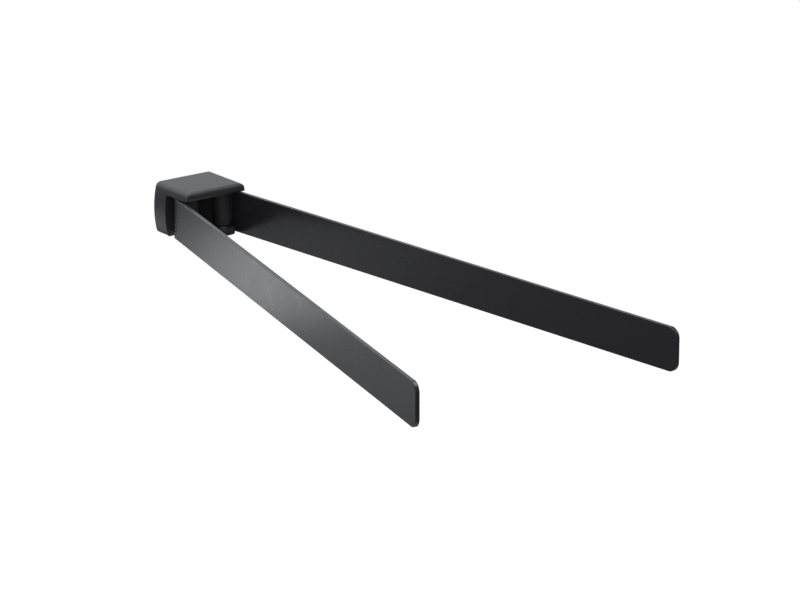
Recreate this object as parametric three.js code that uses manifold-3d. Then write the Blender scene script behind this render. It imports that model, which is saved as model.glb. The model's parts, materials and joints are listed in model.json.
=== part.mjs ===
// Two-arm swivel towel rail, millimetres, +Z up.
// The wall is the plane Y = 0 and the rail projects towards -Y; +X is to the right for someone facing
// the wall. The origin is the centre of the bracket's wall face.
//
// A cast bracket with a deep roof and a shorter jaw below holds two upright pivot pins. Each arm is a
// flat bar on edge, joined to a hinge sleeve that turns on its pin in flanged bushes between thrust
// washers. The bracket hangs on a concealed wall plate and is locked by a grub screw from below.

import * as THREE from 'three';
import { mergeVertices } from 'three/addons/utils/BufferGeometryUtils.js';
import Module from 'manifold-3d';

// ---- Bracket ---------------------------------------------------------------------------------------
const BODY_WIDTH = 52.5;
const BODY_SIDE_RADIUS = 72;
const BODY_CORNER_RADIUS = 4.2;
const ROOF_THICKNESS = 6.5;
const ROOF_TOP_RADIUS = 3.6;
const ROOF_LIP_RADIUS = 2.2;
const ROOF_PLAN_RADIUS = 1.8;
const ROOF_OVERHANG = 14;
const ROOF_SIDE_MARGIN = 2.2;
const WEB_THICKNESS = 14.2;
const WEB_FILLET = 1.2;
const WEB_TOE_RADIUS = 2.1;
const JAW_THICKNESS = 4.4;
const JAW_SETBACK = 3.7;
const JAW_CORNER_RADIUS = 5;
const NIB_DEPTH = 1.5;
const NIB_WIDTH = 4.1;
const NIB_INSET = 3.4;
const POCKET_WALL = 4;
const POCKET_FRONT_WALL = 4;
const POCKET_RADIUS = 2;

// ---- Pivots ----------------------------------------------------------------------------------------
const PIN_RADIUS = 2.5;
const PIN_THREAD_STEP = 0.5;
const PIN_THREAD_LENGTH = 4;
const PIN_HEAD_OVERHANG = 1.5;
const PIN_HEAD_HEIGHT = 2.2;
const PIN_SOCKET_RADIUS = 1.75;
const PIN_SOCKET_DEPTH = 1.5;
const BUSH_WALL = 1.6;
const BUSH_FLANGE_INSET = 0.45;
const BUSH_FLANGE_THICKNESS = 0.8;
const BUSH_SPACING = 5.7;
const WASHER_INSET = 0.25;
const WASHER_THICKNESS = 0.6;
const SLEEVE_WALL = 2.45;

// ---- Arms ------------------------------------------------------------------------------------------
const BAR_REACH = 440;
const BAR_TAIL = 4;
const BAR_HEIGHT = 30;
const BAR_THICKNESS = 3;
const BAR_TIP_RADIUS = 7;
const BAR_TAIL_RADIUS = 1;
const BAR_EDGE_RADIUS = 0.5;
const BAR_ROOF_CLEARANCE = 0.85;
const BAR_FOOT_CLEARANCE = 0.45;
const LEFT_ARM_ANGLE = -14.66;
const RIGHT_ARM_ANGLE = 5.54;

// ---- Wall plate and its screw ----------------------------------------------------------------------
const PLATE_THICKNESS = 2.5;
const PLATE_CLEARANCE = 0.8;
const PLATE_LIP_CLEARANCE = 0.7;
const PLATE_LIP_THICKNESS = 2;
const PLATE_LIP_INSET = 8.45;
const PLATE_CORNER_RADIUS = 2.5;
const WALL_SCREW_INSET = 8.45;
const WALL_SCREW_RADIUS = 2.4;
const WALL_SCREW_HEAD_RADIUS = 4.4;
const GRUB_RADIUS = 2.5;
const GRUB_SOCKET_RADIUS = 1.45;
const GRUB_SOCKET_DEPTH = 2.2;
const GRUB_RECESS = 0.4;

// ---- Clearances ------------------------------------------------------------------------------------
const RUNNING_CLEARANCE = 0.1;
const AXIAL_CLEARANCE = 0.1;
const STOP_CLEARANCE = 0.25;
const SEATED_GAP = 0.3;
const THREAD_CHAMFER = 0.5;

// ---- Derived sizes: levels ---------------------------------------------------------------------------
// The bracket is as tall as its roof and the bars that hang beside its jaw.
const bodyHeight = ROOF_THICKNESS + BAR_ROOF_CLEARANCE + BAR_HEIGHT + BAR_FOOT_CLEARANCE;
const top = bodyHeight / 2;
const bottom = -bodyHeight / 2;
const roofUnderside = top - ROOF_THICKNESS;
const jawTop = bottom + JAW_THICKNESS;
const barTop = roofUnderside - BAR_ROOF_CLEARANCE;
const washerTop = roofUnderside - AXIAL_CLEARANCE;
const sleeveTop = washerTop - WASHER_THICKNESS - BUSH_FLANGE_THICKNESS - 2 * AXIAL_CLEARANCE;
const washerBottom = jawTop + AXIAL_CLEARANCE;
const sleeveBottom = washerBottom + WASHER_THICKNESS + BUSH_FLANGE_THICKNESS + 2 * AXIAL_CLEARANCE;
const bushLength = (sleeveTop - sleeveBottom + 2 * AXIAL_CLEARANCE - BUSH_SPACING) / 2;

// ---- Derived sizes: radii about each pivot, from the pin outwards ------------------------------------
const pinHeadRadius = PIN_RADIUS + PIN_HEAD_OVERHANG;
const pinThreadRadius = PIN_RADIUS - PIN_THREAD_STEP;
const bushBore = PIN_RADIUS + RUNNING_CLEARANCE;
const bushRadius = bushBore + BUSH_WALL;
const sleeveBore = bushRadius + RUNNING_CLEARANCE;
const sleeveRadius = sleeveBore + SLEEVE_WALL;
const bushFlangeRadius = sleeveRadius - BUSH_FLANGE_INSET;
const washerRadius = sleeveRadius - WASHER_INSET;
const barOffset = sleeveRadius + SEATED_GAP;

// ---- Derived sizes: plan -----------------------------------------------------------------------------
// Each pivot stands far enough out for its bar to lie along the wall, against the nib.
const halfWidth = BODY_WIDTH / 2;
const pivotX = halfWidth - ROOF_SIDE_MARGIN - BAR_THICKNESS - barOffset;
const pivotDepth = WEB_THICKNESS + NIB_DEPTH + STOP_CLEARANCE + barOffset + BAR_THICKNESS;
const bodyDepth = pivotDepth + ROOF_OVERHANG;
const jawDepth = bodyDepth - JAW_SETBACK;
const toeBack = WEB_TOE_RADIUS - WEB_THICKNESS;
const pocketHalfWidth = halfWidth - POCKET_WALL;
const pocketHalfHeight = top - POCKET_WALL;
const pocketDepth = WEB_THICKNESS - POCKET_FRONT_WALL;
const plateHalfWidth = pocketHalfWidth - PLATE_CLEARANCE;
const plateHalfHeight = pocketHalfHeight - PLATE_CLEARANCE;
const plateDepth = pocketDepth - PLATE_LIP_CLEARANCE;
const grubY = -plateDepth / 2;

// ---- Fineness, and how far a cutting shape runs past the face it cuts ---------------------------------
const CURVE_STEPS = 10;
const ROUND_STEPS = 40;
const OVERRUN = 1;

// ---- Solids ----------------------------------------------------------------------------------------
const wasm = await Module();
wasm.setup();

function solidOf(geometry) {
  const bare = geometry.clone();
  bare.deleteAttribute('normal');
  bare.deleteAttribute('uv');
  const merged = mergeVertices(bare, 1e-4);
  return new wasm.Manifold(new wasm.Mesh({
    numProp: 3,
    vertProperties: new Float32Array(merged.attributes.position.array),
    triVerts: new Uint32Array(merged.index.array),
  }));
}

function geometryOf(solid) {
  const mesh = solid.getMesh();
  const geometry = new THREE.BufferGeometry();
  geometry.setAttribute('position', new THREE.BufferAttribute(mesh.vertProperties, 3));
  geometry.setIndex(new THREE.BufferAttribute(mesh.triVerts, 1));
  geometry.computeVertexNormals();
  return geometry;
}

function extrude(shape, depth) {
  return new THREE.ExtrudeGeometry(shape, { depth, bevelEnabled: false, curveSegments: CURVE_STEPS });
}

// A front-view outline (X, Z) carried from the wall towards the room.
function fromWall(shape, depth, startY = 0) {
  return solidOf(extrude(shape, depth).rotateX(Math.PI / 2).translate(0, startY, 0));
}

// A side-view outline (Y, Z) carried across the width, centred on X = 0.
function acrossWidth(shape, width) {
  const turn = new THREE.Matrix4().makeBasis(
    new THREE.Vector3(0, 1, 0),
    new THREE.Vector3(0, 0, 1),
    new THREE.Vector3(1, 0, 0),
  );
  return solidOf(extrude(shape, width).applyMatrix4(turn).translate(-width / 2, 0, 0));
}

// A plan outline (X, Y) carried upwards from one level to another.
function upwards(shape, fromZ, toZ) {
  return solidOf(extrude(shape, toZ - fromZ).translate(0, 0, fromZ));
}

// A turned solid on an upright axis, from [radius, z] points that start and end on the axis.
function turned(points, x = 0, y = 0, steps = ROUND_STEPS) {
  const profile = points.map(([radius, z]) => new THREE.Vector2(radius, z));
  const geometry = new THREE.LatheGeometry(profile, steps).rotateX(Math.PI / 2).translate(x, y, 0);
  return solidOf(geometry);
}

function rod(radius, fromZ, toZ, x = 0, y = 0, steps = ROUND_STEPS) {
  return turned([[0, fromZ], [radius, fromZ], [radius, toZ], [0, toZ]], x, y, steps);
}

function ring(outer, inner, fromZ, toZ) {
  return rod(outer, fromZ, toZ).subtract(rod(inner, fromZ - OVERRUN, toZ + OVERRUN));
}

function roundedRectangle(halfW, halfH, radius) {
  const shape = new THREE.Shape();
  const quarter = Math.PI / 2;
  shape.absarc(halfW - radius, halfH - radius, radius, 0, quarter, false);
  shape.absarc(radius - halfW, halfH - radius, radius, quarter, 2 * quarter, false);
  shape.absarc(radius - halfW, radius - halfH, radius, 2 * quarter, 3 * quarter, false);
  shape.absarc(halfW - radius, radius - halfH, radius, 3 * quarter, 4 * quarter, false);
  shape.closePath();
  return shape;
}

// ---- Bracket body ----------------------------------------------------------------------------------
// Front view: flat top and bottom, sides bowed on a long radius, corners tangent to both.
function bodyOutline() {
  const sideCentreX = halfWidth - BODY_SIDE_RADIUS;
  const cornerZ = top - BODY_CORNER_RADIUS;
  const reach = BODY_SIDE_RADIUS - BODY_CORNER_RADIUS;
  const cornerX = sideCentreX + Math.sqrt(reach ** 2 - cornerZ ** 2);
  const lean = Math.asin(cornerZ / reach);
  const quarter = Math.PI / 2;
  const shape = new THREE.Shape();
  shape.absarc(sideCentreX, 0, BODY_SIDE_RADIUS, -lean, lean, false);
  shape.absarc(cornerX, cornerZ, BODY_CORNER_RADIUS, lean, quarter, false);
  shape.absarc(-cornerX, cornerZ, BODY_CORNER_RADIUS, quarter, 2 * quarter - lean, false);
  shape.absarc(-sideCentreX, 0, BODY_SIDE_RADIUS, 2 * quarter - lean, 2 * quarter + lean, false);
  shape.absarc(-cornerX, -cornerZ, BODY_CORNER_RADIUS, 2 * quarter + lean, 3 * quarter, false);
  shape.absarc(cornerX, -cornerZ, BODY_CORNER_RADIUS, 3 * quarter, 4 * quarter - lean, false);
  shape.closePath();
  return shape;
}

// Half the body's width at a level on its bowed sides.
function bodyHalfWidthAt(z) {
  return halfWidth - BODY_SIDE_RADIUS + Math.sqrt(BODY_SIDE_RADIUS ** 2 - z ** 2);
}

// Side view of roof and web: rounded nose in front, a small fillet where the roof meets the web, and a
// rounded toe at the web's lower front edge.
function roofAndWebProfile() {
  const quarter = Math.PI / 2;
  const shape = new THREE.Shape();
  shape.moveTo(0, bottom);
  shape.lineTo(0, top);
  shape.absarc(ROOF_TOP_RADIUS - bodyDepth, top - ROOF_TOP_RADIUS, ROOF_TOP_RADIUS,
    quarter, 2 * quarter, false);
  shape.absarc(ROOF_LIP_RADIUS - bodyDepth, roofUnderside + ROOF_LIP_RADIUS, ROOF_LIP_RADIUS,
    2 * quarter, 3 * quarter, false);
  shape.absarc(-WEB_THICKNESS - WEB_FILLET, roofUnderside - WEB_FILLET, WEB_FILLET,
    quarter, 0, true);
  shape.absarc(toeBack, bottom + WEB_TOE_RADIUS, WEB_TOE_RADIUS, 2 * quarter, 3 * quarter, false);
  shape.closePath();
  return shape;
}

// Plan of the roof: the nose's upright corners are softened.
function roofPlan() {
  const side = bodyHalfWidthAt(roofUnderside);
  const quarter = Math.PI / 2;
  const shape = new THREE.Shape();
  shape.moveTo(halfWidth, 0);
  shape.lineTo(-halfWidth, 0);
  shape.lineTo(-halfWidth, -WEB_THICKNESS);
  shape.lineTo(-side, -WEB_THICKNESS);
  shape.absarc(ROOF_PLAN_RADIUS - side, ROOF_PLAN_RADIUS - bodyDepth, ROOF_PLAN_RADIUS,
    2 * quarter, 3 * quarter, false);
  shape.absarc(side - ROOF_PLAN_RADIUS, ROOF_PLAN_RADIUS - bodyDepth, ROOF_PLAN_RADIUS,
    3 * quarter, 4 * quarter, false);
  shape.lineTo(side, -WEB_THICKNESS);
  shape.lineTo(halfWidth, -WEB_THICKNESS);
  shape.closePath();
  return shape;
}

// Plan of the lower jaw. Its sides stay inside the circle that each bar's inner face turns on, and its
// neck stays clear of the bars' tails, so both arms can swing out along the wall.
function jawPlan() {
  const quarter = Math.PI / 2;
  const sideReach = sleeveRadius - RUNNING_CLEARANCE;
  const side = pivotX + sideReach;
  const neck = pivotX - BAR_TAIL - SEATED_GAP - RUNNING_CLEARANCE;
  const neckAngle = Math.PI - Math.acos((pivotX - neck) / sideReach);
  const cornerY = JAW_CORNER_RADIUS - jawDepth;
  const shape = new THREE.Shape();
  shape.moveTo(-neck, toeBack);
  shape.absarc(-pivotX, -pivotDepth, sideReach, Math.PI - neckAngle, Math.PI, false);
  shape.absarc(JAW_CORNER_RADIUS - side, cornerY, JAW_CORNER_RADIUS, 2 * quarter, 3 * quarter, false);
  shape.absarc(side - JAW_CORNER_RADIUS, cornerY, JAW_CORNER_RADIUS, 3 * quarter, 4 * quarter, false);
  shape.absarc(pivotX, -pivotDepth, sideReach, 0, neckAngle, false);
  shape.lineTo(neck, toeBack);
  shape.closePath();
  return shape;
}

// Plan of one stop nib at the web's lower corner, which a bar meets when it lies along the wall.
function nibPlan(side) {
  const outer = halfWidth - NIB_INSET;
  const inner = outer - NIB_WIDTH;
  const points = [
    [inner, toeBack],
    [outer, toeBack],
    [outer, -WEB_THICKNESS],
    [outer - NIB_DEPTH, -WEB_THICKNESS - NIB_DEPTH],
    [inner, -WEB_THICKNESS - NIB_DEPTH],
  ];
  return new THREE.Shape(points.map(([x, y]) => new THREE.Vector2(side * x, y)));
}

// Side view of a nib: its lower front edge rounds down to where the web's toe begins.
function nibProfile() {
  const front = -WEB_THICKNESS - NIB_DEPTH;
  const radius = toeBack - front;
  const shape = new THREE.Shape();
  shape.moveTo(toeBack, bottom);
  shape.lineTo(toeBack, jawTop);
  shape.lineTo(front, jawTop);
  shape.absarc(toeBack, bottom + radius, radius, Math.PI, 1.5 * Math.PI, false);
  shape.closePath();
  return shape;
}

function nib(side) {
  return upwards(nibPlan(side), bottom, jawTop).intersect(acrossWidth(nibProfile(), BODY_WIDTH));
}

function pivotBore(x) {
  const threadBore = rod(pinThreadRadius + RUNNING_CLEARANCE, roofUnderside - OVERRUN,
    roofUnderside + PIN_THREAD_LENGTH + SEATED_GAP, x, -pivotDepth);
  const shankBore = rod(PIN_RADIUS + RUNNING_CLEARANCE, bottom - OVERRUN, jawTop + OVERRUN, x, -pivotDepth);
  const headBore = rod(pinHeadRadius + RUNNING_CLEARANCE, bottom - OVERRUN,
    bottom + PIN_HEAD_HEIGHT + AXIAL_CLEARANCE, x, -pivotDepth);
  return threadBore.add(shankBore).add(headBore);
}

function bracketBody() {
  const block = fromWall(bodyOutline(), bodyDepth);
  const roofLevel = upwards(roofPlan(), roofUnderside - WEB_FILLET, top);
  const webLevel = fromWall(roundedRectangle(BODY_WIDTH, bodyHeight, BODY_CORNER_RADIUS), WEB_THICKNESS);
  const shell = block.intersect(acrossWidth(roofAndWebProfile(), 2 * BODY_WIDTH))
    .intersect(roofLevel.add(webLevel));
  const jaw = upwards(jawPlan(), bottom, jawTop)
    .add(nib(-1))
    .add(nib(1))
    .intersect(block);
  const pocket = fromWall(roundedRectangle(pocketHalfWidth, pocketHalfHeight, POCKET_RADIUS),
    pocketDepth + OVERRUN, OVERRUN);
  const grubBore = rod(GRUB_RADIUS + RUNNING_CLEARANCE, bottom - OVERRUN,
    bottom + POCKET_WALL + OVERRUN, 0, grubY);
  return shell.add(jaw)
    .subtract(pocket)
    .subtract(grubBore)
    .subtract(pivotBore(-pivotX))
    .subtract(pivotBore(pivotX));
}

// ---- Pivot pieces, each on its own axis at X = 0, Y = 0 --------------------------------------------
function hexagonSocket(radius, fromZ, toZ) {
  return rod(radius, fromZ, toZ, 0, 0, 6);
}

// Shoulder screw: head sunk in the jaw, plain shank through the hinge, thread up into the roof.
function pivotPin() {
  const headTop = bottom + PIN_HEAD_HEIGHT;
  const shoulder = roofUnderside - AXIAL_CLEARANCE;
  const tip = roofUnderside + PIN_THREAD_LENGTH;
  const body = turned([
    [0, bottom],
    [pinHeadRadius, bottom],
    [pinHeadRadius, headTop],
    [PIN_RADIUS, headTop],
    [PIN_RADIUS, shoulder],
    [pinThreadRadius, shoulder],
    [pinThreadRadius, tip - THREAD_CHAMFER],
    [pinThreadRadius - THREAD_CHAMFER, tip],
    [0, tip],
  ]);
  return body.subtract(hexagonSocket(PIN_SOCKET_RADIUS, bottom - OVERRUN, bottom + PIN_SOCKET_DEPTH));
}

function thrustWasher(level) {
  return ring(washerRadius, bushBore, level, level + WASHER_THICKNESS);
}

// Flanged bush; direction is +1 for the flange above the barrel and -1 for the flange below it.
function flangedBush(face, direction) {
  const flangeEnd = face + direction * BUSH_FLANGE_THICKNESS;
  const barrelEnd = face - direction * bushLength;
  const low = Math.min(flangeEnd, barrelEnd);
  const high = Math.max(flangeEnd, barrelEnd);
  const flange = rod(bushFlangeRadius, Math.min(face, flangeEnd), Math.max(face, flangeEnd));
  const barrel = rod(bushRadius, low, high);
  const bore = rod(bushBore, low - OVERRUN, high + OVERRUN);
  return flange.add(barrel).subtract(bore);
}

function hingeSleeve() {
  return ring(sleeveRadius, sleeveBore, sleeveBottom, sleeveTop);
}

// ---- Arm bar ---------------------------------------------------------------------------------------
// Side view along the bar: u runs from the tail to the tip, z is the height; all edges are eased.
function armBar(side) {
  const quarter = Math.PI / 2;
  const inset = BAR_EDGE_RADIUS;
  const low = barTop - BAR_HEIGHT + inset;
  const high = barTop - inset;
  const tail = -BAR_TAIL + inset;
  const tip = BAR_REACH - inset;
  const tipR = BAR_TIP_RADIUS - inset;
  const tailR = BAR_TAIL_RADIUS - inset;
  const shape = new THREE.Shape();
  shape.absarc(tip - tipR, high - tipR, tipR, quarter, 0, true);
  shape.absarc(tip - tipR, low + tipR, tipR, 0, -quarter, true);
  shape.absarc(tail + tailR, low + tailR, tailR, -quarter, -2 * quarter, true);
  shape.absarc(tail + tailR, high - tailR, tailR, 2 * quarter, quarter, true);
  shape.closePath();
  const geometry = new THREE.ExtrudeGeometry(shape, {
    depth: BAR_THICKNESS - 2 * inset,
    bevelEnabled: true,
    bevelSize: inset,
    bevelThickness: inset,
    bevelSegments: 2,
    curveSegments: CURVE_STEPS,
  });
  // Local u, z and thickness become -Y, +Z and -X.
  const turn = new THREE.Matrix4().makeBasis(
    new THREE.Vector3(0, -1, 0),
    new THREE.Vector3(0, 0, 1),
    new THREE.Vector3(-1, 0, 0),
  );
  geometry.applyMatrix4(turn);
  const middle = side * (barOffset + BAR_THICKNESS / 2);
  return solidOf(geometry.translate(middle + BAR_THICKNESS / 2 - inset, 0, 0));
}

// ---- Wall plate and grub screw ---------------------------------------------------------------------
function wallScrewHole(x) {
  const countersink = [
    [0, OVERRUN],
    [WALL_SCREW_RADIUS, OVERRUN],
    [WALL_SCREW_RADIUS, -(PLATE_THICKNESS - (WALL_SCREW_HEAD_RADIUS - WALL_SCREW_RADIUS))],
    [WALL_SCREW_HEAD_RADIUS, -PLATE_THICKNESS],
    [WALL_SCREW_HEAD_RADIUS, -PLATE_THICKNESS - OVERRUN],
    [0, -PLATE_THICKNESS - OVERRUN],
  ];
  const profile = countersink.reverse().map(([radius, y]) => new THREE.Vector2(radius, y));
  return solidOf(new THREE.LatheGeometry(profile, ROUND_STEPS).translate(x, 0, 0));
}

function wallPlate() {
  const plate = fromWall(roundedRectangle(plateHalfWidth, plateHalfHeight, PLATE_CORNER_RADIUS),
    PLATE_THICKNESS);
  const lipStart = OVERRUN - PLATE_THICKNESS;
  const lipLength = plateDepth + lipStart;
  const lipWidth = 2 * (plateHalfWidth - PLATE_LIP_INSET);
  const lip = (centreZ) => solidOf(new THREE.BoxGeometry(lipWidth, lipLength, PLATE_LIP_THICKNESS)
    .translate(0, lipStart - lipLength / 2, centreZ));
  const lipZ = plateHalfHeight - PLATE_LIP_THICKNESS / 2;
  const screwX = plateHalfWidth - WALL_SCREW_INSET;
  return plate.add(lip(lipZ)).add(lip(-lipZ))
    .subtract(wallScrewHole(-screwX))
    .subtract(wallScrewHole(screwX));
}

// The grub screw bears on the plate's lower lip and sits just inside the bracket's underside.
function grubScrew() {
  const from = bottom + GRUB_RECESS;
  const to = -plateHalfHeight - SEATED_GAP;
  const body = turned([
    [0, from],
    [GRUB_RADIUS, from],
    [GRUB_RADIUS, to - THREAD_CHAMFER],
    [GRUB_RADIUS - THREAD_CHAMFER, to],
    [0, to],
  ]);
  return body.subtract(hexagonSocket(GRUB_SOCKET_RADIUS, from - OVERRUN, from + GRUB_SOCKET_DEPTH));
}

// ---- Materials -------------------------------------------------------------------------------------
const finishes = {
  castCoat: { color: 0x1c1c1f, roughness: 0.42, metalness: 0.1 },
  barCoat: { color: 0x19191c, roughness: 0.38, metalness: 0.1 },
  sleeveCoat: { color: 0x1b1b1d, roughness: 0.5, metalness: 0.1 },
  blackenedSteel: { color: 0x2a2a2c, roughness: 0.4, metalness: 0.8 },
  nylon: { color: 0x2c2c2c, roughness: 0.6, metalness: 0 },
  steel: { color: 0x9a9a9a, roughness: 0.35, metalness: 1 },
  zinc: { color: 0xb4b6b8, roughness: 0.45, metalness: 1 },
};

function piece(name, solid, finish) {
  const mesh = new THREE.Mesh(geometryOf(solid), new THREE.MeshStandardMaterial(finishes[finish]));
  mesh.name = name;
  return mesh;
}

// ---- Assembly --------------------------------------------------------------------------------------
function pivotGroup(side) {
  const group = new THREE.Group();
  group.position.set(side * pivotX, -pivotDepth, 0);
  return group;
}

function pinSet(name, side) {
  const group = pivotGroup(side);
  group.add(piece(`${name}_pivot_pin`, pivotPin(), 'blackenedSteel'));
  group.add(piece(`${name}_upper_washer`, thrustWasher(washerTop - WASHER_THICKNESS), 'steel'));
  group.add(piece(`${name}_lower_washer`, thrustWasher(washerBottom), 'steel'));
  return group;
}

function arm(name, side, angle) {
  const group = pivotGroup(side);
  group.rotation.z = THREE.MathUtils.degToRad(angle);
  group.add(piece(`${name}_arm_bar`, armBar(side), 'barCoat'));
  group.add(piece(`${name}_hinge_sleeve`, hingeSleeve(), 'sleeveCoat'));
  group.add(piece(`${name}_upper_bush`, flangedBush(sleeveTop + AXIAL_CLEARANCE, 1), 'nylon'));
  group.add(piece(`${name}_lower_bush`, flangedBush(sleeveBottom - AXIAL_CLEARANCE, -1), 'nylon'));
  return group;
}

const rail = new THREE.Group();
rail.add(piece('bracket_body', bracketBody(), 'castCoat'));
rail.add(piece('wall_plate', wallPlate(), 'zinc'));
const grub = piece('grub_screw', grubScrew(), 'blackenedSteel');
grub.position.y = grubY;
rail.add(grub);
rail.add(pinSet('left', -1));
rail.add(pinSet('right', 1));
rail.add(arm('left', -1, LEFT_ARM_ANGLE));
rail.add(arm('right', 1, RIGHT_ARM_ANGLE));

export default rail;
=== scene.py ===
"""Two-arm swivel towel rack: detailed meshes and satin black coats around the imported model, in metres."""

import json
import math

import bmesh
import bpy
from mathutils import Matrix, Vector


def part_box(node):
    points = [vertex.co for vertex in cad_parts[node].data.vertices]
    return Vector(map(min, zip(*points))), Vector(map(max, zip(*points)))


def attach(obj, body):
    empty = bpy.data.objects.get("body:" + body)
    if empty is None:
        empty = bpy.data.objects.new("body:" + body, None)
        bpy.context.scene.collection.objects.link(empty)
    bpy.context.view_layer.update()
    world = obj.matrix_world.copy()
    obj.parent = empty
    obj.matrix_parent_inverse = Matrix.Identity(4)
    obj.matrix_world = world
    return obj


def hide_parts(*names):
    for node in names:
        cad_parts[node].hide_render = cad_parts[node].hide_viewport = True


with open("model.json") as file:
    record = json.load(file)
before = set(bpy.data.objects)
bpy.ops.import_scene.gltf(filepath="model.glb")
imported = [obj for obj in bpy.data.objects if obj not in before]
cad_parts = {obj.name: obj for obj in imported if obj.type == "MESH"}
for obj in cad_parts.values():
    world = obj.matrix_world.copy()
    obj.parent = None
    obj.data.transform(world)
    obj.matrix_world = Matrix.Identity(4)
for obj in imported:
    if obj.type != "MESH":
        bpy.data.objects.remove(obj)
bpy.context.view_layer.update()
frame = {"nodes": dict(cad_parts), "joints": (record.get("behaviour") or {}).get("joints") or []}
MM = 0.001
QUARTER = math.pi / 2

# ---- Sizes taken from the frame ----------------------------------------------------------------------
body_low, body_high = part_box("bracket_body")
HALF_WIDTH = (body_high.x - body_low.x) / 2
TOP = body_high.z
BOTTOM = body_low.z
DEPTH = -body_low.y
PIVOTS = {j["child"]: Vector(j["pos_m"]) for j in frame["joints"]}
PIVOT_X = PIVOTS["right_arm"].x
PIVOT_Y = PIVOTS["right_arm"].y

# ---- Sizes of the bracket's own shape ----------------------------------------------------------------
SIDE_RADIUS = 72 * MM
CORNER_RADIUS = 4.2 * MM
ROOF_THICKNESS = 6.5 * MM
ROOF_TOP_RADIUS = 2.8 * MM
ROOF_LIP_RADIUS = 2.2 * MM
ROOF_PLAN_RADIUS = 1.4 * MM
WEB_THICKNESS = 14.2 * MM
WEB_FILLET = 1.2 * MM
WEB_TOE_RADIUS = 2.1 * MM
JAW_THICKNESS = 4.4 * MM
JAW_DEPTH = 36.3 * MM
JAW_CORNER_RADIUS = 5 * MM
JAW_SIDE_REACH = 6.65 * MM
JAW_NECK = 9.6 * MM
NIB_DEPTH = 1.5 * MM
NIB_WIDTH = 4.1 * MM
NIB_INSET = 3.4 * MM
POCKET_WALL = 4 * MM
POCKET_DEPTH = 10.2 * MM
POCKET_RADIUS = 2 * MM
PIN_BORE_RADIUS = 2.6 * MM
PIN_HEAD_BORE_RADIUS = 4.1 * MM
PIN_HEAD_BORE_DEPTH = 2.3 * MM
GRUB_BORE_RADIUS = 2.6 * MM

ROOF_UNDERSIDE = TOP - ROOF_THICKNESS
JAW_TOP = BOTTOM + JAW_THICKNESS
TOE_BACK = WEB_TOE_RADIUS - WEB_THICKNESS
SPARE = 1 * MM

# ---- Sizes of the arms -------------------------------------------------------------------------------
BAR_THICKNESS = 3 * MM
BAR_TIP_RADIUS = 7 * MM
BAR_TAIL_RADIUS = 1 * MM
BAR_EDGE_RADIUS = 0.45 * MM
BAR_SLEEVE_GAP = 0.3 * MM
BAR_ROLL_STEPS = 6
SLEEVE_BORE_RADIUS = 4.3 * MM
SLEEVE_EASE = 0.35 * MM
WELD_RADIUS = 0.9 * MM
WELD_SINK = 0.25 * MM
WELD_SPREAD = 2.7 * MM
WELD_END_GAP = 1.5 * MM
WELD_RIPPLES = 22
WELD_RIPPLE_STEPS = 4
WELD_RIPPLE = 0.07

# ---- Sizes of the hardware ---------------------------------------------------------------------------
PIN_SHANK_RADIUS = 2.5 * MM
PIN_THREAD_RADIUS = 2 * MM
PIN_HEAD_HEIGHT = 2.2 * MM
PIN_SHOULDER_GAP = 0.1 * MM
PIN_EASE = 0.35 * MM
PIN_SOCKET_RADIUS = 1.75 * MM
PIN_SOCKET_DEPTH = 1.5 * MM
GRUB_EASE = 0.4 * MM
GRUB_SOCKET_RADIUS = 1.45 * MM
GRUB_SOCKET_DEPTH = 2.2 * MM
WASHER_BORE_RADIUS = 2.6 * MM
WASHER_EASE = 0.08 * MM
BUSH_BORE_RADIUS = 2.6 * MM
BUSH_BARREL_RADIUS = 4.2 * MM
BUSH_FLANGE_THICKNESS = 0.8 * MM
BUSH_EASE = 0.15 * MM

CASTING_VOXEL = 0.3 * MM
CASTING_SMOOTHING = 2
STAMPING_SMOOTHING = 4


# ---- Mesh helpers ------------------------------------------------------------------------------------
def arc(cx, cy, radius, start, end, steps=24):
    """Points on an arc from one angle to another, both ends included."""
    angles = [start + (end - start) * k / steps for k in range(steps + 1)]
    return [(cx + radius * math.cos(a), cy + radius * math.sin(a)) for a in angles]


def new_object(name, mesh):
    piece = bpy.data.objects.new(name, mesh)
    bpy.context.scene.collection.objects.link(piece)
    return piece


def prism(points, start, end, place):
    """A closed prism: each outline point (a, b) and a level c go through place(a, b, c)."""
    bm = bmesh.new()
    rings = [[bm.verts.new(place(a, b, c)) for a, b in points] for c in (start, end)]
    bm.faces.new(rings[0])
    bm.faces.new(rings[1])
    count = len(points)
    for k in range(count):
        following = (k + 1) % count
        bm.faces.new((rings[0][k], rings[0][following], rings[1][following], rings[1][k]))
    bmesh.ops.remove_doubles(bm, verts=bm.verts, dist=1e-7)
    bmesh.ops.recalc_face_normals(bm, faces=bm.faces)
    mesh = bpy.data.meshes.new("shape")
    bm.to_mesh(mesh)
    bm.free()
    return new_object("shape", mesh)


def front_outline(points, start_y, end_y):
    return prism(points, start_y, end_y, lambda a, b, c: (a, c, b))


def side_outline(points, start_x, end_x):
    return prism(points, start_x, end_x, lambda a, b, c: (c, a, b))


def plan_outline(points, start_z, end_z):
    return prism(points, start_z, end_z, lambda a, b, c: (a, b, c))


def combine(target, operation, *tools):
    """Joins or cuts target with each tool in turn; the tools are used up."""
    for tool in tools:
        change = target.modifiers.new("combine", "BOOLEAN")
        change.operation = operation
        change.solver = "EXACT"
        change.object = tool
        apply_modifiers(target)
        bpy.data.objects.remove(tool)
    return target


def apply_modifiers(piece):
    graph = bpy.context.evaluated_depsgraph_get()
    mesh = bpy.data.meshes.new_from_object(piece.evaluated_get(graph))
    piece.modifiers.clear()
    piece.data = mesh
    return piece


def shade_smooth(piece):
    piece.data.polygons.foreach_set("use_smooth", [True] * len(piece.data.polygons))
    piece.data.update()
    return piece


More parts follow.
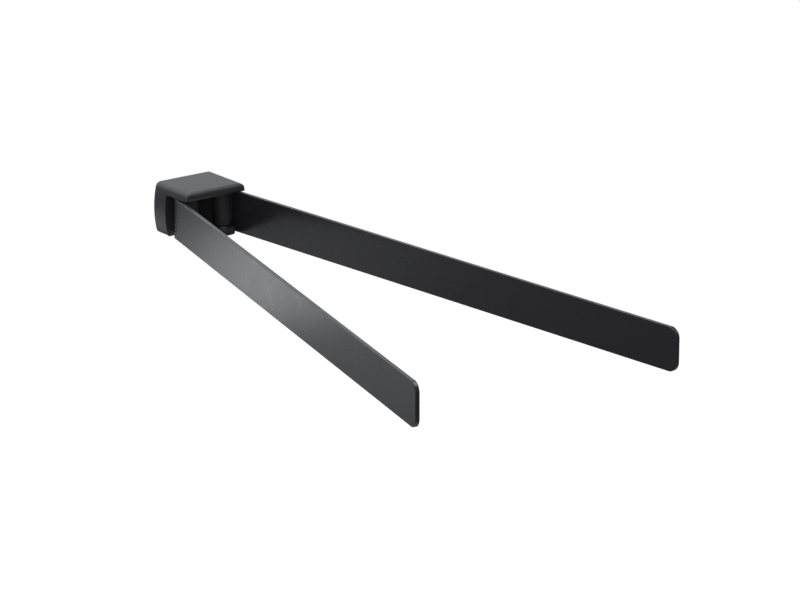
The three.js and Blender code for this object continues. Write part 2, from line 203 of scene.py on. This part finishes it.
def weighted_normals(piece):
    """Smooth shading in which the large flat faces stay flat."""
    shade_smooth(piece)
    normals = piece.modifiers.new("normals", "WEIGHTED_NORMAL")
    normals.mode = "FACE_AREA"
    normals.weight = 100
    normals.keep_sharp = False
    return apply_modifiers(piece)


def cast_surface(piece, voxel, smoothing):
    """Remeshes a built-up solid into one skin and eases every edge, as a die casting has them."""
    remesh = piece.modifiers.new("skin", "REMESH")
    remesh.mode = "VOXEL"
    remesh.voxel_size = voxel
    ease = piece.modifiers.new("ease", "SMOOTH")
    ease.factor = 0.5
    ease.iterations = smoothing
    return shade_smooth(apply_modifiers(piece))


def lathe(name, profile, axis, steps=96, closed=False):
    """A piece turned on an upright axis from (radius, z) points. A closed profile gives a ring."""
    bm = bmesh.new()
    rings = []
    for radius, z in profile:
        if radius < 1e-9:
            rings.append([bm.verts.new((axis.x, axis.y, z))])
            continue
        turn = [2 * math.pi * k / steps for k in range(steps)]
        rings.append([
            bm.verts.new((axis.x + radius * math.cos(a), axis.y + radius * math.sin(a), z)) for a in turn
        ])
    pairs = list(zip(rings, rings[1:])) + ([(rings[-1], rings[0])] if closed else [])
    for low, high in pairs:
        for k in range(steps):
            following = (k + 1) % steps
            corners = [low[k % len(low)], low[following % len(low)]]
            corners += [high[following % len(high)], high[k % len(high)]]
            face = list(dict.fromkeys(corners))
            if len(face) > 2:
                bm.faces.new(face)
    bmesh.ops.recalc_face_normals(bm, faces=bm.faces)
    mesh = bpy.data.meshes.new(name)
    bm.to_mesh(mesh)
    bm.free()
    return new_object(name, mesh)


def eased_ring(name, inner, outer, low, high, axis, ease):
    """A ring whose four edges have a small chamfer."""
    profile = [
        (inner + ease, low), (outer - ease, low), (outer, low + ease), (outer, high - ease),
        (outer - ease, high), (inner + ease, high), (inner, high - ease), (inner, low + ease),
    ]
    return lathe(name, profile, axis, closed=True)


def join(target, *others):
    bpy.ops.object.select_all(action="DESELECT")
    for other in others:
        other.select_set(True)
    target.select_set(True)
    bpy.context.view_layer.objects.active = target
    bpy.ops.object.join()
    return target


# ---- Materials ---------------------------------------------------------------------------------------
COAT_MOTTLE = 0.12
CLOUDS_PER_GRAIN = 14
TURNING_SCALE = (300, 300, 9000)
TURNING_DEPTH = 0.02 * MM


def coat_material(name, colour, roughness, spread, grain, grain_depth):
    """A powder coat: fine orange-peel relief, roughness that wanders a little, and faint tonal mottling."""
    material = bpy.data.materials.new(name)
    material.use_nodes = True
    nodes, links = material.node_tree.nodes, material.node_tree.links
    shader = nodes["Principled BSDF"]
    shader.inputs["Metallic"].default_value = 0
    shader.inputs["IOR"].default_value = 1.5
    place = nodes.new("ShaderNodeTexCoord")
    peel = nodes.new("ShaderNodeTexNoise")
    peel.inputs["Scale"].default_value = grain
    peel.inputs["Detail"].default_value = 3
    peel.inputs["Roughness"].default_value = 0.55
    cloud = nodes.new("ShaderNodeTexNoise")
    cloud.inputs["Scale"].default_value = grain / CLOUDS_PER_GRAIN
    cloud.inputs["Detail"].default_value = 4
    wander = nodes.new("ShaderNodeMapRange")
    wander.inputs["To Min"].default_value = roughness - spread
    wander.inputs["To Max"].default_value = roughness + spread
    tone = nodes.new("ShaderNodeMix")
    tone.data_type = "RGBA"
    tone.inputs[6].default_value = (*[c * (1 - COAT_MOTTLE) for c in colour], 1)
    tone.inputs[7].default_value = (*[c * (1 + COAT_MOTTLE) for c in colour], 1)
    bump = nodes.new("ShaderNodeBump")
    bump.inputs["Strength"].default_value = 1
    bump.inputs["Distance"].default_value = grain_depth
    links.new(place.outputs["Object"], peel.inputs["Vector"])
    links.new(place.outputs["Object"], cloud.inputs["Vector"])
    links.new(cloud.outputs["Fac"], wander.inputs["Value"])
    links.new(wander.outputs["Result"], shader.inputs["Roughness"])
    links.new(cloud.outputs["Fac"], tone.inputs["Factor"])
    links.new(tone.outputs[2], shader.inputs["Base Color"])
    links.new(peel.outputs["Fac"], bump.inputs["Height"])
    links.new(bump.outputs["Normal"], shader.inputs["Normal"])
    return material


def turned_metal_material(name, colour, roughness):
    """Machined metal: fine rings and small scratches in the roughness and the relief."""
    material = bpy.data.materials.new(name)
    material.use_nodes = True
    nodes, links = material.node_tree.nodes, material.node_tree.links
    shader = nodes["Principled BSDF"]
    shader.inputs["Metallic"].default_value = 1
    place = nodes.new("ShaderNodeTexCoord")
    stretch = nodes.new("ShaderNodeMapping")
    stretch.inputs["Scale"].default_value = TURNING_SCALE
    lines = nodes.new("ShaderNodeTexNoise")
    lines.inputs["Scale"].default_value = 1
    lines.inputs["Detail"].default_value = 2
    wander = nodes.new("ShaderNodeMapRange")
    wander.inputs["To Min"].default_value = roughness * 0.75
    wander.inputs["To Max"].default_value = roughness * 1.3
    tone = nodes.new("ShaderNodeMix")
    tone.data_type = "RGBA"
    tone.inputs[6].default_value = (*[c * 0.85 for c in colour], 1)
    tone.inputs[7].default_value = (*[min(c * 1.1, 1) for c in colour], 1)
    bump = nodes.new("ShaderNodeBump")
    bump.inputs["Strength"].default_value = 0.5
    bump.inputs["Distance"].default_value = TURNING_DEPTH
    links.new(place.outputs["Object"], stretch.inputs["Vector"])
    links.new(stretch.outputs["Vector"], lines.inputs["Vector"])
    links.new(lines.outputs["Fac"], wander.inputs["Value"])
    links.new(wander.outputs["Result"], shader.inputs["Roughness"])
    links.new(lines.outputs["Fac"], tone.inputs["Factor"])
    links.new(tone.outputs[2], shader.inputs["Base Color"])
    links.new(lines.outputs["Fac"], bump.inputs["Height"])
    links.new(bump.outputs["Normal"], shader.inputs["Normal"])
    return material


MATERIALS = {
    "cast_coat": coat_material("cast_coat", (0.041, 0.041, 0.046), 0.4, 0.035, 850, 0.000012),
    "bar_coat": coat_material("bar_coat", (0.035, 0.035, 0.040), 0.28, 0.025, 950, 0.000005),
    "sleeve_coat": coat_material("sleeve_coat", (0.042, 0.042, 0.045), 0.6, 0.04, 900, 0.000012),
    "nylon": coat_material("nylon", (0.022, 0.022, 0.022), 0.55, 0.05, 1500, 0.00001),
    "blackened_steel": turned_metal_material("blackened_steel", (0.05, 0.05, 0.053), 0.34),
    "washer_steel": turned_metal_material("washer_steel", (0.46, 0.46, 0.47), 0.3),
    "zinc_plate": turned_metal_material("zinc_plate", (0.52, 0.53, 0.55), 0.38),
}


def finish_piece(piece, body, slot, *nodes):
    """Gives a piece its finish, its body, and the CAD nodes that it stands for."""
    piece.data.materials.clear()
    piece.data.materials.append(MATERIALS[slot])
    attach(piece, body)
    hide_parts(*nodes)
    return piece


# ---- Bracket casting ---------------------------------------------------------------------------------
def bracket_front():
    """Front view: flat top and bottom, bowed sides, corners tangent to both."""
    centre_x = HALF_WIDTH - SIDE_RADIUS
    corner_z = TOP - CORNER_RADIUS
    reach = SIDE_RADIUS - CORNER_RADIUS
    corner_x = centre_x + math.sqrt(reach ** 2 - corner_z ** 2)
    lean = math.asin(corner_z / reach)
    right = arc(corner_x, -corner_z, CORNER_RADIUS, -QUARTER, -lean)
    right += arc(centre_x, 0, SIDE_RADIUS, -lean, lean, 80)[1:-1]
    right += arc(corner_x, corner_z, CORNER_RADIUS, lean, QUARTER)
    return right + [(-x, z) for x, z in reversed(right)]


def bracket_side():
    """Side view of the web and roof: rounded nose, fillet, rounded toe. It runs on past the wall."""
    points = [(SPARE, BOTTOM), (SPARE, TOP)]
    points += arc(ROOF_TOP_RADIUS - DEPTH, TOP - ROOF_TOP_RADIUS, ROOF_TOP_RADIUS, QUARTER, 2 * QUARTER)
    points += arc(ROOF_LIP_RADIUS - DEPTH, ROOF_UNDERSIDE + ROOF_LIP_RADIUS, ROOF_LIP_RADIUS,
                  2 * QUARTER, 3 * QUARTER)
    points += arc(-WEB_THICKNESS - WEB_FILLET, ROOF_UNDERSIDE - WEB_FILLET, WEB_FILLET, QUARTER, 0, 12)
    points += arc(TOE_BACK, BOTTOM + WEB_TOE_RADIUS, WEB_TOE_RADIUS, 2 * QUARTER, 3 * QUARTER)
    return points


def roof_plan():
    """Plan of the roof, its upright nose corners softened, and as wide as the web behind them."""
    side = HALF_WIDTH - SIDE_RADIUS + math.sqrt(SIDE_RADIUS ** 2 - ROOF_UNDERSIDE ** 2)
    corner = arc(side - ROOF_PLAN_RADIUS, ROOF_PLAN_RADIUS - DEPTH, ROOF_PLAN_RADIUS, -QUARTER, 0, 12)
    right = corner + [(side, -WEB_THICKNESS), (HALF_WIDTH + SPARE, -WEB_THICKNESS)]
    right += [(HALF_WIDTH + SPARE, SPARE)]
    return right + [(-x, y) for x, y in reversed(right)]


def jaw_plan():
    """Plan of the lower jaw: round over each pivot, narrow at its neck, softened front corners."""
    side = PIVOT_X + JAW_SIDE_REACH
    neck_angle = math.pi - math.acos((PIVOT_X - JAW_NECK) / JAW_SIDE_REACH)
    right = arc(side - JAW_CORNER_RADIUS, JAW_CORNER_RADIUS - JAW_DEPTH, JAW_CORNER_RADIUS, -QUARTER, 0)
    right += arc(PIVOT_X, PIVOT_Y, JAW_SIDE_REACH, 0, neck_angle)
    right += [(JAW_NECK, TOE_BACK)]
    return right + [(-x, y) for x, y in reversed(right)]


def nib_plan(side):
    """Plan of the stop nib that a bar meets when it lies along the wall."""
    outer = HALF_WIDTH - NIB_INSET
    inner = outer - NIB_WIDTH
    face = -WEB_THICKNESS - NIB_DEPTH
    points = [(inner, TOE_BACK), (outer, TOE_BACK), (outer, -WEB_THICKNESS)]
    points += [(outer - NIB_DEPTH, face), (inner, face)]
    return [(side * x, y) for x, y in points]


def nib_side():
    """Side view of a nib: its lower front edge rounds down to where the web's toe begins."""
    face = -WEB_THICKNESS - NIB_DEPTH
    radius = TOE_BACK - face
    front = arc(TOE_BACK, BOTTOM + radius, radius, 2 * QUARTER, 3 * QUARTER)
    return [(TOE_BACK, JAW_TOP), (face, JAW_TOP)] + front


def nib(side):
    block = plan_outline(nib_plan(side), BOTTOM, JAW_TOP)
    return combine(block, "INTERSECT", side_outline(nib_side(), -HALF_WIDTH, HALF_WIDTH))


def pocket_front():
    half_w = HALF_WIDTH - POCKET_WALL
    half_h = TOP - POCKET_WALL
    r = POCKET_RADIUS
    right = arc(half_w - r, r - half_h, r, -QUARTER, 0, 8) + arc(half_w - r, half_h - r, r, 0, QUARTER, 8)
    return right + [(-x, z) for x, z in reversed(right)]


def bore(axis, radius, low, high):
    return lathe("bore", [(0, low), (radius, low), (radius, high), (0, high)], axis, 64)


def trim_at_wall(piece):
    """Cuts the casting off flat at the wall, which leaves its back edges crisp."""
    bm = bmesh.new()
    bm.from_mesh(piece.data)
    everything = bm.verts[:] + bm.edges[:] + bm.faces[:]
    cut = bmesh.ops.bisect_plane(
        bm, geom=everything, plane_co=(0, 0, 0), plane_no=(0, 1, 0), clear_outer=True)
    rim = [item for item in cut["geom_cut"] if isinstance(item, bmesh.types.BMEdge)]
    back = bmesh.ops.triangle_fill(bm, edges=rim, normal=(0, 1, 0))["geom"]
    for item in back:
        if isinstance(item, bmesh.types.BMFace):
            item.smooth = False
    for edge in rim:
        edge.smooth = False
    bmesh.ops.recalc_face_normals(bm, faces=bm.faces)
    bm.to_mesh(piece.data)
    bm.free()


def bracket_casting():
    block = front_outline(bracket_front(), SPARE, -DEPTH)
    shell = side_outline(bracket_side(), -HALF_WIDTH - SPARE, HALF_WIDTH + SPARE)
    combine(shell, "INTERSECT", front_outline(bracket_front(), SPARE, -DEPTH))
    roof = plan_outline(roof_plan(), ROOF_UNDERSIDE - WEB_FILLET, TOP + SPARE)
    web = plan_outline([(-2 * DEPTH, SPARE), (2 * DEPTH, SPARE), (2 * DEPTH, -WEB_THICKNESS),
                        (-2 * DEPTH, -WEB_THICKNESS)], BOTTOM - SPARE, ROOF_UNDERSIDE)
    combine(shell, "INTERSECT", combine(roof, "UNION", web))
    jaw = plan_outline(jaw_plan(), BOTTOM - SPARE, JAW_TOP)
    combine(jaw, "INTERSECT", block)
    combine(jaw, "UNION", nib(-1), nib(1))
    combine(shell, "UNION", jaw)
    combine(shell, "DIFFERENCE", front_outline(pocket_front(), 2 * SPARE, -POCKET_DEPTH))
    grub_low, grub_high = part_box("grub_screw")
    grub_axis = (grub_low + grub_high) / 2
    grub_top = BOTTOM + POCKET_WALL + SPARE
    combine(shell, "DIFFERENCE", bore(grub_axis, GRUB_BORE_RADIUS, BOTTOM - SPARE, grub_top))
    for pivot in PIVOTS.values():
        combine(shell, "DIFFERENCE",
                bore(pivot, PIN_BORE_RADIUS, BOTTOM - SPARE, JAW_TOP + SPARE),
                bore(pivot, PIN_HEAD_BORE_RADIUS, BOTTOM - SPARE, BOTTOM + PIN_HEAD_BORE_DEPTH))
    shell.name = "bracket_casting"
    cast_surface(shell, CASTING_VOXEL, CASTING_SMOOTHING)
    trim_at_wall(shell)
    return finish_piece(shell, "bracket", "cast_coat", "bracket_body")


# ---- Arms --------------------------------------------------------------------------------------------
def arm_heading(bar, body):
    """The arm's turn about +Z from straight out of the wall, found from where the CAD bar's middle lies."""
    low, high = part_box(bar)
    middle = (low + high) / 2 - PIVOTS[body]
    side = 1 if PIVOTS[body].x > 0 else -1
    offset = bar_offset(body) + BAR_THICKNESS / 2
    distance = math.hypot(middle.x, middle.y)
    heading = math.atan2(middle.x, -middle.y) - side * math.asin(offset / distance)
    return heading, math.sqrt(distance ** 2 - offset ** 2)


def bar_offset(body):
    """Distance from the pivot axis to the bar's inner face."""
    low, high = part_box(body.replace("_arm", "_hinge_sleeve"))
    return (high.x - low.x) / 2 + BAR_SLEEVE_GAP


def bar_outline(tail, tip, low, high, inset):
    """Side view of a bar, (reach, height) points, drawn in by inset on every side."""
    tip_r = BAR_TIP_RADIUS - inset
    tail_r = BAR_TAIL_RADIUS - inset
    tip_x = tip - BAR_TIP_RADIUS
    tail_x = tail + BAR_TAIL_RADIUS
    points = arc(tip_x, low + BAR_TIP_RADIUS, tip_r, -QUARTER, 0, 32)
    points += arc(tip_x, high - BAR_TIP_RADIUS, tip_r, 0, QUARTER, 32)
    points += arc(tail_x, high - BAR_TAIL_RADIUS, tail_r, QUARTER, 2 * QUARTER, 10)
    points += arc(tail_x, low + BAR_TAIL_RADIUS, tail_r, 2 * QUARTER, 3 * QUARTER, 10)
    return points


def arm_bar(name, body):
    """Flat bar on edge with rolled edges, built as rings from one broad face to the other."""
    heading, mid_reach = arm_heading(name, body)
    low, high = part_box(name)
    side = 1 if PIVOTS[body].x > 0 else -1
    plan = Vector((high.x - low.x, high.y - low.y))
    length = (plan.y - BAR_THICKNESS * abs(math.sin(heading))) / math.cos(heading)
    tail, tip = mid_reach - length / 2, mid_reach + length / 2
    inner = bar_offset(body)
    roll = [QUARTER * k / BAR_ROLL_STEPS for k in range(BAR_ROLL_STEPS + 1)]
    half = [(BAR_EDGE_RADIUS * (1 - math.sin(a)), BAR_EDGE_RADIUS * (1 - math.cos(a))) for a in roll]
    rings = half + [(inset, BAR_THICKNESS - level) for inset, level in reversed(half)]
    bm = bmesh.new()
    loops = []
    for inset, level in rings:
        outline = bar_outline(tail, tip, low.z, high.z, inset)
        loops.append([bm.verts.new((side * (inner + level), -reach, z)) for reach, z in outline])
    count = len(loops[0])
    for near, far in zip(loops, loops[1:]):
        for k in range(count):
            following = (k + 1) % count
            bm.faces.new((near[k], near[following], far[following], far[k]))
    bm.faces.new(loops[0])
    bm.faces.new(loops[-1])
    bmesh.ops.recalc_face_normals(bm, faces=bm.faces)
    mesh = bpy.data.meshes.new(name + "_flat")
    bm.to_mesh(mesh)
    bm.free()
    mesh.transform(Matrix.Translation(PIVOTS[body]) @ Matrix.Rotation(heading, 4, "Z"))
    piece = weighted_normals(new_object(name + "_rolled", mesh))
    return finish_piece(piece, body, "bar_coat", name)


def weld_profile(start, end):
    """A rippled bead of weld that fades out over one ripple at each end."""
    count = WELD_RIPPLES * WELD_RIPPLE_STEPS
    profile = [(0, start)]
    for k in range(count + 1):
        z = start + (end - start) * k / count
        radius = WELD_RADIUS * (1 + WELD_RIPPLE * math.cos(2 * math.pi * k / WELD_RIPPLE_STEPS))
        fade = min(1, (k + 1) / WELD_RIPPLE_STEPS, (count + 1 - k) / WELD_RIPPLE_STEPS)
        profile.append((radius * math.sqrt(fade), z))
    return profile + [(0, end)]


def hinge_sleeve(name, body):
    """Sleeve with eased ends and the two weld beads that hold it to its bar."""
    low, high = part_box(name)
    outer = (high.x - low.x) / 2
    pivot = PIVOTS[body]
    side = 1 if pivot.x > 0 else -1
    heading, _ = arm_heading(body + "_bar", body)
    sleeve = eased_ring(name + "_welded", SLEEVE_BORE_RADIUS, outer, low.z, high.z, pivot, SLEEVE_EASE)
    beads = []
    for edge in (-1, 1):
        local = Vector((side * (outer - WELD_SINK), edge * WELD_SPREAD, 0))
        centre = pivot + Matrix.Rotation(heading, 3, "Z") @ local
        beads.append(lathe("bead", weld_profile(low.z + WELD_END_GAP, high.z - WELD_END_GAP), centre, 20))
    join(sleeve, *beads)
    return finish_piece(weighted_normals(sleeve), body, "sleeve_coat", name)


# ---- Hardware ----------------------------------------------------------------------------------------
def hexagon(axis, radius, low, high):
    return lathe("hexagon", [(0, low), (radius, low), (radius, high), (0, high)], axis, 6)


def pivot_pin(name):
    low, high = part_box(name)
    axis = (low + high) / 2
    head, shank, thread = (high.x - low.x) / 2, PIN_SHANK_RADIUS, PIN_THREAD_RADIUS
    shoulder = ROOF_UNDERSIDE - PIN_SHOULDER_GAP
    head_top = low.z + PIN_HEAD_HEIGHT
    ease = PIN_EASE
    profile = [(0, low.z), (head - ease, low.z), (head, low.z + ease), (head, head_top - ease)]
    profile += [(head - ease, head_top), (shank, head_top)]
    profile += [(shank, shoulder - ease), (shank - ease, shoulder)]
    profile += [(thread, shoulder), (thread, high.z - ease), (thread - ease, high.z), (0, high.z)]
    pin = lathe(name + "_turned", profile, axis)
    combine(pin, "DIFFERENCE", hexagon(axis, PIN_SOCKET_RADIUS, low.z - SPARE, low.z + PIN_SOCKET_DEPTH))
    return finish_piece(weighted_normals(pin), "bracket", "blackened_steel", name)


def grub_screw():
    low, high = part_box("grub_screw")
    axis = (low + high) / 2
    radius = (high.x - low.x) / 2
    ease = GRUB_EASE
    profile = [(0, low.z), (radius - ease, low.z), (radius, low.z + ease), (radius, high.z - ease)]
    profile += [(radius - ease, high.z), (0, high.z)]
    screw = lathe("grub_screw_turned", profile, axis)
    combine(screw, "DIFFERENCE", hexagon(axis, GRUB_SOCKET_RADIUS, low.z - SPARE, low.z + GRUB_SOCKET_DEPTH))
    return finish_piece(weighted_normals(screw), "bracket", "blackened_steel", "grub_screw")


def washer(name):
    low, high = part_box(name)
    outer = (high.x - low.x) / 2
    axis = (low + high) / 2
    ring = eased_ring(name + "_eased", WASHER_BORE_RADIUS, outer, low.z, high.z, axis, WASHER_EASE)
    return finish_piece(weighted_normals(ring), "bracket", "washer_steel", name)


def flanged_bush(name, body):
    low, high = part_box(name)
    bore_r, barrel, flange = BUSH_BORE_RADIUS, BUSH_BARREL_RADIUS, (high.x - low.x) / 2
    thick = BUSH_FLANGE_THICKNESS
    ease = BUSH_EASE
    if "upper" in name:
        face, end, step = high.z, low.z, -1
    else:
        face, end, step = low.z, high.z, 1
    profile = [(bore_r + ease, face), (flange - ease, face), (flange, face + step * ease)]
    profile += [(flange, face + step * (thick - ease)), (flange - ease, face + step * thick)]
    profile += [(barrel, face + step * thick), (barrel, end - step * ease), (barrel - ease, end)]
    profile += [(bore_r + ease, end), (bore_r, end - step * ease), (bore_r, face + step * ease)]
    bush = lathe(name + "_moulded", profile, (low + high) / 2, closed=True)
    return finish_piece(weighted_normals(bush), body, "nylon", name)


def wall_plate():
    """The concealed plate: the CAD shape with every stamped edge eased."""
    plate = new_object("wall_plate_stamped", frame["nodes"]["wall_plate"].data.copy())
    cast_surface(plate, CASTING_VOXEL, STAMPING_SMOOTHING)
    return finish_piece(plate, "bracket", "zinc_plate", "wall_plate")


def build_rack():
    bracket_casting()
    wall_plate()
    grub_screw()
    for hand in ("left", "right"):
        body = hand + "_arm"
        arm_bar(hand + "_arm_bar", body)
        hinge_sleeve(hand + "_hinge_sleeve", body)
        flanged_bush(hand + "_upper_bush", body)
        flanged_bush(hand + "_lower_bush", body)
        pivot_pin(hand + "_pivot_pin")
        washer(hand + "_upper_washer")
        washer(hand + "_lower_washer")


# ---- Studio ------------------------------------------------------------------------------------------
FLOOR_DROP = 1.1
FLOOR_SIZE = 30
PANEL_Y = 0.35
WORLD_FALL = (-0.4, -0.85)
# Upright panels behind the wall line: left, right, low, high, radiance.
PANELS = {
    "panel_right": (0.12, 0.9, 0.03, 0.5, 0.68),
    "panel_middle": (-0.3, 0.12, 0.0, 0.4, 1.4),
    "panel_root": (-0.09, 0.05, -0.2, 0.0, 0.15),
    "panel_bright_strip": (-0.192, -0.098, -0.2, -0.12, 3.2),
    "panel_low": (-0.33, -0.1, -0.32, -0.2, 0.35),
    "panel_left": (-0.6, -0.33, -0.28, -0.18, 0.9),
    "panel_far_left": (-1.0, -0.6, -0.42, -0.2, 0.12),
}
# Soft boxes around the room: centre, aim, width, height, radiance.
SOFT_BOXES = {
    "top_box": (Vector((0.1, -0.2, 1.4)), Vector((0.05, -0.2, 0)), 1.6, 1.2, 3.8),
    "front_fill": (Vector((-1.3, -1.6, 0.5)), Vector((0, -0.2, 0)), 1.2, 1.2, 1.3),
    "right_fill": (Vector((1.6, -0.5, 0.7)), Vector((0, -0.2, 0)), 1.0, 1.0, 1.2),
}
LIGHT_COLOUR = (0.965, 0.98, 1.0)
CAMERA_AZIMUTH = -37.13
CAMERA_ELEVATION = 17.58
CAMERA_DISTANCE = 2.917
CAMERA_LENS = 184
CAMERA_AIM = Vector((0.1066, -0.1142, -0.0653))


def camera():
    data = bpy.data.cameras.new("camera")
    data.lens = CAMERA_LENS
    data.sensor_width = 36
    data.clip_start = 0.05
    data.clip_end = 100
    cam = new_object("camera", data)
    azimuth, elevation = math.radians(CAMERA_AZIMUTH), math.radians(CAMERA_ELEVATION)
    back = Vector((math.sin(azimuth) * math.cos(elevation), -math.cos(azimuth) * math.cos(elevation),
                   math.sin(elevation)))
    cam.location = CAMERA_AIM + back * CAMERA_DISTANCE
    cam.rotation_euler = back.to_track_quat("Z", "Y").to_euler()
    bpy.context.scene.camera = cam


def soft_light(name, centre, aim, width, height, radiance):
    """A rectangular soft box of even radiance that faces its aim."""
    data = bpy.data.lights.new(name, "AREA")
    data.shape = "RECTANGLE"
    data.size = width
    data.size_y = height
    data.color = LIGHT_COLOUR
    data.energy = radiance * math.pi * width * height
    light = new_object(name, data)
    light.location = centre
    light.rotation_euler = (centre - aim).to_track_quat("Z", "Y").to_euler()
    light.visible_camera = False


def floor():
    """A pale floor that shows in the picture but does not light or reflect in the object."""
    bm = bmesh.new()
    bmesh.ops.create_grid(bm, x_segments=1, y_segments=1, size=FLOOR_SIZE)
    mesh = bpy.data.meshes.new("floor")
    bm.to_mesh(mesh)
    bm.free()
    ground = new_object("floor", mesh)
    ground.location.z = BOTTOM - FLOOR_DROP
    material = bpy.data.materials.new("pale_floor")
    material.use_nodes = True
    shader = material.node_tree.nodes["Principled BSDF"]
    shader.inputs["Base Color"].default_value = (0.9, 0.9, 0.9, 1)
    shader.inputs["Roughness"].default_value = 0.9
    shader.inputs["Specular IOR Level"].default_value = 0
    shader.inputs["Emission Color"].default_value = (1, 1, 1, 1)
    shader.inputs["Emission Strength"].default_value = 0.9
    mesh.materials.append(material)
    ground.visible_glossy = False
    ground.visible_diffuse = False


def surroundings(seen, level, below):
    """White where the camera looks past the object. Its light is even, and brighter from straight below."""
    world = bpy.data.worlds.new("studio")
    bpy.context.scene.world = world
    world.use_nodes = True
    nodes, links = world.node_tree.nodes, world.node_tree.links
    nodes.clear()
    out = nodes.new("ShaderNodeOutputWorld")
    mix = nodes.new("ShaderNodeMixShader")
    path = nodes.new("ShaderNodeLightPath")
    place = nodes.new("ShaderNodeTexCoord")
    split = nodes.new("ShaderNodeSeparateXYZ")
    fall = nodes.new("ShaderNodeMapRange")
    fall.inputs["From Min"].default_value = WORLD_FALL[0]
    fall.inputs["From Max"].default_value = WORLD_FALL[1]
    fall.inputs["To Min"].default_value = level
    fall.inputs["To Max"].default_value = below
    ambient = nodes.new("ShaderNodeBackground")
    white = nodes.new("ShaderNodeBackground")
    white.inputs["Color"].default_value = (1, 1, 1, 1)
    white.inputs["Strength"].default_value = seen
    links.new(place.outputs["Generated"], split.inputs["Vector"])
    links.new(split.outputs["Z"], fall.inputs["Value"])
    links.new(fall.outputs["Result"], ambient.inputs["Strength"])
    links.new(path.outputs["Is Camera Ray"], mix.inputs["Fac"])
    links.new(ambient.outputs["Background"], mix.inputs[1])
    links.new(white.outputs["Background"], mix.inputs[2])
    links.new(mix.outputs["Shader"], out.inputs["Surface"])


def panel(name, left, right, low, high, radiance):
    """An upright soft box behind the object, facing the room."""
    centre = Vector(((left + right) / 2, PANEL_Y, (low + high) / 2))
    soft_light(name, centre, centre - Vector((0, 1, 0)), right - left, high - low, radiance)


def studio():
    """Soft boxes behind the wall line light the faces seen at a grazing angle; the rest is gentle fill."""
    camera()
    floor()
    surroundings(seen=1.0, level=0.12, below=0.7)
    for name, place in PANELS.items():
        panel(name, *place)
    for name, place in SOFT_BOXES.items():
        soft_light(name, *place)
    bpy.context.scene.view_settings.view_transform = "Standard"


build_rack()
studio()
